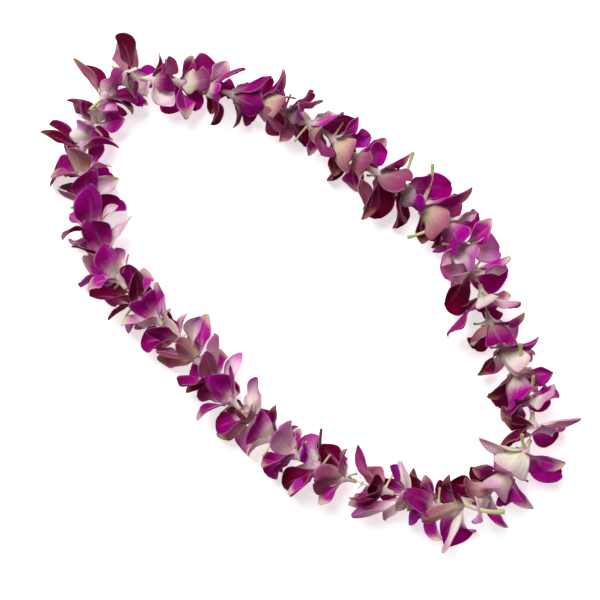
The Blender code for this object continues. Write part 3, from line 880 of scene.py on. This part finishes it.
def lay_stalk(index, turn, pose):
    """Lay a stalk along its rail; one that shows has a stoutness and is seated its own way."""
    centre, forward = station(index)
    seat_azimuth = pose["azimuth"] if "stout" in pose else turn + ORGAN_SPACING * (pose["side"] + 0.5)
    start = centre + across(forward, seat_azimuth) * STALK_SEAT - forward * HUB_LENGTH / 2
    track = rail(start, forward, across(forward, pose["azimuth"]), pose, STALK_CLEAR, flat=False)
    blank = BLANK_POINTS[ORGAN_OF == STALK]
    stout = pose.get("stout", 1.0)
    along = blank[:, 1] / STALK_LENGTH * STALK_REACH
    middle, _ = on_rail(track, along, blank[:, 0] * stout, blank[:, 2] * stout)
    middle[:, 2] = np.maximum(middle[:, 2], 0)
    return middle


# %% How a sheet is shaped
PETALS = (0, 2)
LIP = 4
LIP_SHOWS = 1.15  # a lip is pushed out by the blossom behind it


def shape_of(luck, number):
    """How a sheet is cupped, waved, rolled and curled, in mm and degrees."""
    broad = number in PETALS
    return {
        "reach": luck.uniform(0.84, 1.0) * (LIP_SHOWS if number == LIP else 1),
        "wide": luck.uniform(1.0, 1.22),
        "fold": luck.uniform(0.0, 0.7),
        "cup": luck.uniform(2.0, 6.5) if broad else luck.uniform(1.0, 4.5),
        "lopsided": luck.uniform(-0.7, 0.7),
        "lean": luck.uniform(-5.0, 5.0),
        "ruffle": luck.uniform(0.4, 1.8) if broad else luck.uniform(0.2, 1.0),
        "waves": luck.uniform(6, 11),
        "phase": luck.uniform(0, FULL_TURN),
        "skew": luck.uniform(0, 1.6),
        "curl": luck.uniform(-8.0, 5.0),
        "roll": luck.uniform(-40, 40),
        "fuller": luck.uniform(-0.22, 0.22),
    }


print("a sheet has", len(shape_of(random.Random(0), 0)), "measures")

# %% [markdown]
# ## The colour and the hold of single organs
# No two blossoms of a lei are alike: most are bright and some are pale. Some organs are wine dark or tan,
# partly from their own darker tone and partly as painted shade where they lie in the strand's shadow.
# One letter for an organ says how flushed it is and how much painted shade and darker tone it has, which
# is quick to read and to change. Where an organ stands out from the strand, its reach, breadth and opening
# are listed one by one, and so are the stalks that lie on top of the strand.

# %% Tints
# How flushed an organ of each letter is, and how much painted shade and darker tone it has. A capital
# letter stands for one whose white root reaches further.
TINTS = {
    "w": (0.0, 0.0),   # white
    "t": (0.0, 0.8),   # tan
    "p": (0.5, 0.0),   # pink
    "b": (0.55, 0.7),  # brown rose
    "m": (1.0, 0.0),   # magenta
    "r": (1.0, 0.5),   # rich
    "d": (1.0, 1.0),   # dark
}
ROOT_WHITE = (0.05, 0.24)  # as a share of the organ's length
# A word for each blossom and a letter for each of its organs, in the order of ORGANS.
# The letters t, b, r and d give an organ its own darker tone together with painted shade.
BLOSSOM_TINTS = (
    "bbdmWm pWdmMd rrpmbr wwMddm rbWwtt mmWdtr rbpmmd tTWmdt rrWpdt mmdrwp bdddrm mmMpWm pdrwwt mWrdwd "
    "mwmrdb rbTpmd MdddWr pdbrWM rtdtbd dWMwMb rWmrtd mbrrTm rMddrp mrrddr Tbbwrr dwbrpb rmtmtw TdddmM "
    "MbTrbm bddrrm ddmMMd tmTdbr MwmdmM PrPmWP dWmmWP PWrdrp rtdrPm WmWdwm MdbwmM mmwrdb dPmPWd mmWWWP "
    "Prddmm WtddwM MWTddd rrdwmm rWPwmW ddbbtr").split()
print(len(BLOSSOM_TINTS), "blossoms tinted")

# %% Holds
ORGAN_LETTERS = "ABCDEF"
# Organs held in a way of their own, by blossom and organ: how far each reaches and how broad it is, as
# shares of the usual, and how many degrees wider it opens.
OWN_HOLD = {
    "1B": (0.7, 0.8, 0), "1C": (0.82, 0.9, 0), "1F": (0.9, 1.0, 0), "2D": (1.2, 1.4, 0),
    "3A": (0.72, 0.9, 0), "3D": (0.6, 0.8, 0), "4B": (0.65, 0.7, 0), "5C": (1.0, 0.5, 0),
    "6C": (1.2, 0.5, 0), "6D": (1.0, 1.2, 30), "6F": (1.0, 1.2, 0), "7F": (0.7, 0.9, 0),
    "8C": (1.15, 0.55, 0), "8D": (1.2, 1.3, 0), "8F": (1.2, 1.1, 0), "9A": (0.84, 0.95, 0),
    "9C": (1.1, 0.75, 0), "9D": (0.65, 0.7, 0), "11B": (0.8, 0.8, 0), "11C": (1.3, 0.8, 0),
    "12B": (0.8, 0.9, 0), "12D": (0.6, 0.7, 0), "12F": (1.35, 1.3, -13), "13B": (0.8, 0.8, 0),
    "13D": (1.15, 0.9, 0), "14B": (0.75, 0.8, 0), "14E": (0.85, 0.9, 0), "15E": (1.2, 1.1, 0),
    "16B": (0.65, 0.8, 0), "16C": (0.8, 0.8, 0), "16D": (0.65, 0.8, 0), "17C": (0.9, 0.7, -8),
    "17D": (1.1, 0.7, 12), "18C": (0.65, 0.6, 0), "18D": (0.8, 0.7, 0), "19C": (0.9, 0.5, 0),
    "19D": (1.05, 0.45, 0), "19F": (0.75, 0.9, 0), "20A": (1.0, 1.0, 50), "20C": (0.56, 0.8, 0),
    "20D": (0.7, 0.7, 0), "20E": (1.3, 1.5, 0), "20F": (1.45, 1.2, 0), "21F": (0.65, 0.8, 0),
    "22A": (0.68, 0.72, 0), "22D": (0.65, 0.8, 0), "23D": (0.6, 0.8, 0), "24C": (0.72, 0.85, 0),
    "24D": (0.75, 0.8, 0), "25C": (0.75, 0.8, 0), "26C": (0.8, 0.8, 0), "26D": (1.1, 1.2, -22),
    "26F": (0.82, 0.9, 0), "27D": (0.7, 0.9, 0), "28E": (1.2, 1.1, 0), "28F": (0.8, 0.85, 0),
    "29A": (0.7, 0.9, 0), "29C": (1.3, 1.0, 0), "30B": (1.25, 0.8, 14), "31A": (1.0, 0.9, 0),
    "31C": (1.3, 1.1, 12), "32B": (1.2, 1.1, 0), "33A": (0.82, 0.9, 0), "33B": (0.7, 0.8, 0),
    "33D": (0.7, 0.8, 0), "34A": (0.8, 0.8, 0), "34E": (1.25, 1.3, 0), "34F": (0.65, 0.8, 0),
    "35E": (1.25, 1.3, 0), "36A": (0.8, 0.8, 0), "36C": (1.2, 1.2, 0), "36E": (1.2, 1.2, 0),
    "36F": (0.6, 0.8, 0), "37B": (0.7, 0.8, 0), "37C": (0.76, 0.85, 0), "37E": (1.2, 1.2, 0),
    "38D": (0.95, 0.9, 0), "38E": (1.3, 1.2, 0), "40B": (0.75, 0.8, 0), "41D": (1.22, 0.7, 12),
    "41E": (1.25, 1.3, 0), "41F": (0.8, 0.9, 0), "42A": (0.92, 0.95, 46), "42B": (1.1, 1.1, 45),
    "42D": (1.25, 0.8, 0), "42E": (1.3, 1.0, 0), "44C": (0.75, 0.8, 0), "44F": (1.0, 1.1, 25),
    "45A": (1.15, 1.3, 0), "45B": (1.25, 0.5, 0), "45C": (1.25, 0.45, -10), "46B": (0.7, 0.9, 0),
    "46F": (0.95, 1.2, 30), "47C": (1.4, 0.55, 0), "47E": (1.3, 1.1, 0), "48C": (1.25, 0.4, -28),
}
# Stalks that show, by blossom.
STALK_KEYS = ("azimuth", "root", "tip", "length", "stout")
OWN_STALKS = {
    19: (95, 105, 168, 27, 1.4),
    31: (14, 98, 118, 36, 1.5),
    32: (20, 95, 136, 40, 1.6),
    33: (165, 100, 128, 38, 1.5),
    39: (66, 108, 172, 38, 1.6),
    40: (60, 108, 165, 28, 1.5),
    42: (122, 100, 140, 26, 1.5),
    45: (70, 108, 172, 48, 2.0),
}


def held(index, number, shape):
    """An organ's shape, changed where it is held in a way of its own."""
    own = (shape["reach"], shape["wide"], 0)
    reach, wide, opened = OWN_HOLD.get(f"{index + 1}{ORGAN_LETTERS[number]}", own)
    return {**shape, "reach": reach, "wide": wide, "open": opened}


print(len(OWN_HOLD), "organs and", len(OWN_STALKS), "stalks have a hold of their own")

# %% Grow the blossoms
SHAPE_SEED = 7000


def grow_blossom(index):
    """One blossom, copied from the blank, laid out and tinted, in place of its solid."""
    turn, poses, stalk_pose = draw_poses(index, DRAWS[index])
    luck = random.Random(SHAPE_SEED + index)
    piece = new_object(f"orchid_{index + 1:02d}", blank_blossom.data.copy())
    piece.data.name = piece.name
    points = np.empty_like(BLANK_POINTS)
    tint = np.zeros((3, len(points)))
    for number, pose in enumerate(poses):
        shape = held(index, number, shape_of(luck, number))
        points[ORGAN_OF == number] = lay_sheet(index, number, pose, shape)
        letter = BLOSSOM_TINTS[index][number]
        tint[:, ORGAN_OF == number] = [[v] for v in (*TINTS[letter.lower()], ROOT_WHITE[letter.isupper()])]
    points[ORGAN_OF == HUB] = lay_hub(index, turn)
    stalk_pose.update(zip(STALK_KEYS, OWN_STALKS.get(index + 1, ())))
    points[ORGAN_OF == STALK] = lay_stalk(index, turn, stalk_pose)
    piece.data.vertices.foreach_set("co", (points * MM).ravel())
    for name, values in zip(("flush", "painted_shade_and_tone", "white"), tint):
        piece.data.attributes.new(name, "FLOAT", "POINT").data.foreach_set("value", values)
    piece.data.update()
    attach(piece, "root")
    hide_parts(BLOSSOM_NODES[index])
    return piece


orchids = [grow_blossom(index) for index in range(len(SEATS))]
bpy.data.objects.remove(blank_blossom)
print(len(orchids), "blossoms laid")

# %% [markdown]
# ## The thread and its knot
# Lei thread is three soft cotton plies twisted together, about a millimetre thick. A cord like this is
# easily made from a curve: the bevel is a three-lobed section, and a steadily growing tilt twists the
# lobes into plies. The loop runs through every blossom and is tied off in one small knot with two cut,
# fraying ends.

# %% Cotton
FUZZ_SCALE = 2500.0  # to the metre: fibres and clumps 0.4 mm across


def cotton_finish():
    """Spun cotton: dull and off-white, with painted shade that darkens it in the hollows between its fibres.
    """
    material, tree, shader = new_material("cotton_thread")
    fibre_relief_and_shade = add_node(tree, "TexNoise", Vector=add_node(tree, "TexCoord").outputs["Object"],
                    Scale=FUZZ_SCALE, Detail=3.0)
    # The same noise that raises the fibres' bump darkens the colour where the bump sinks: painted shade.
    colour = add_node(tree, "ValToRGB", {}, [(0.2, "#d8cfba"), (0.8, "#f4efe4")], _0=fibre_relief_and_shade)
    tree.links.new(colour.outputs[0], shader.inputs["Base Color"])
    shader.inputs["Roughness"].default_value = 0.95
    bump = add_node(tree, "Bump", Strength=0.5, Distance=0.0001, Height=fibre_relief_and_shade)
    tree.links.new(bump.outputs[0], shader.inputs["Normal"])
    return material


COTTON = cotton_finish()
print("finish", COTTON.name)

# %% A twisted cord along a path
PLIES = 3
PLY_PITCH = 4.0  # mm of thread for a third of a turn, after which the three plies lie the same way again
PLY_POINTS = 9
PLY_DIP = 0.72
CORD_STEP = 0.6
THREAD_RADIUS = 0.5


def ply_section(radius):
    """The three-lobed section of a cord, as a closed curve."""
    curve = bpy.data.curves.new("plies", "CURVE")
    curve.dimensions = "2D"
    spline = curve.splines.new("POLY")
    spline.use_cyclic_u = True
    spline.points.add(PLY_POINTS - 1)
    for k, point in enumerate(spline.points):
        angle = 2 * math.pi * k / PLY_POINTS
        reach = radius * (1.0 if k % PLIES else PLY_DIP) * MM
        point.co = (reach * math.cos(angle), reach * math.sin(angle), 0, 1)
    return new_object("plies", curve)


def twisted_cord(name, path, radius, closed=False):
    """A cord of three plies along a path given in mm."""
    section = ply_section(radius)
    curve = bpy.data.curves.new(name, "CURVE")
    curve.dimensions = "3D"
    curve.twist_mode = "Z_UP"
    curve.bevel_mode = "OBJECT"
    curve.bevel_object = section
    curve.use_fill_caps = not closed
    spline = curve.splines.new("POLY")
    spline.use_cyclic_u = closed
    spline.points.add(len(path) - 1)
    travelled = 0.0
    for k, point in enumerate(spline.points):
        if k:
            travelled += (path[k] - path[k - 1]).length
        point.co = (*(path[k] * MM), 1)
        point.tilt = 2 * math.pi / PLIES * travelled / PLY_PITCH
    pick([new_object(name, curve)])
    bpy.ops.object.convert(target="MESH")
    bpy.data.objects.remove(section)
    return bpy.context.object


# %% The loop
loop_steps = round(LOOP_LENGTH / CORD_STEP)
loop_path = [loop_point(KNOT_AT + LOOP_LENGTH * k / loop_steps) for k in range(loop_steps)]
cords = [twisted_cord("loop", loop_path, THREAD_RADIUS, closed=True)]
print("loop of", loop_steps, "steps")

# %% The knot and its ends
KNOT_SCALE = 0.46
KNOT_STEPS = 60
KNOT_LENGTHWISE = 1.4
knot_middle = loop_point(KNOT_AT)
knot_forward = loop_forward(KNOT_AT)
knot_path = []
for k in range(KNOT_STEPS):
    t = 2 * math.pi * k / KNOT_STEPS
    outwards = across(knot_forward, 0) * (math.sin(t) + 2 * math.sin(2 * t))
    upwards = across(knot_forward, 90) * (math.cos(t) - 2 * math.cos(2 * t))
    lengthwise = knot_forward * math.sin(3 * t) * KNOT_LENGTHWISE
    knot_path.append(knot_middle + KNOT_SCALE * (lengthwise + outwards + upwards))
cords.append(twisted_cord("knot", knot_path, THREAD_RADIUS, closed=True))

TAIL_AZIMUTHS = (70, 250)
TAIL_START = 0.8
TAIL_LENGTH = 7.0
TAIL_DRIFT = 2.0
TAIL_STEPS = 12
TAIL_THINNER = 0.9
FRAYS = 4
FRAY_LENGTH = 1.8
FRAY_RADIUS = 0.16
FRAY_SPREAD = 0.45
FRAY_STEPS = 5
FRAY_TURN = 30  # degrees
for azimuth in TAIL_AZIMUTHS:
    outward = across(knot_forward, azimuth)
    tail = []
    for k in range(TAIL_STEPS + 1):
        share = k / TAIL_STEPS
        drift = knot_forward * TAIL_DRIFT * share**2
        tail.append(knot_middle + outward * (TAIL_START + TAIL_LENGTH * share) + drift)
    cords.append(twisted_cord("tail", tail, THREAD_RADIUS * TAIL_THINNER))
    for strand in range(FRAYS):
        aside = across(outward, 360 / FRAYS * strand + FRAY_TURN) * FRAY_SPREAD
        shares = [k / FRAY_STEPS for k in range(FRAY_STEPS + 1)]
        fray = [tail[-1] + (outward * share + aside * share**2) * FRAY_LENGTH for share in shares]
        cords.append(twisted_cord("fray", fray, FRAY_RADIUS))
print(len(cords), "cords")

# %% One thread
pick(cords)
bpy.ops.object.join()
thread = cords[0]
thread.name = "lei_thread"
thread.data.materials.clear()
thread.data.materials.append(COTTON)
bpy.ops.object.shade_smooth()
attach(thread, "root")
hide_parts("thread")
print("thread", len(thread.data.polygons), "faces")
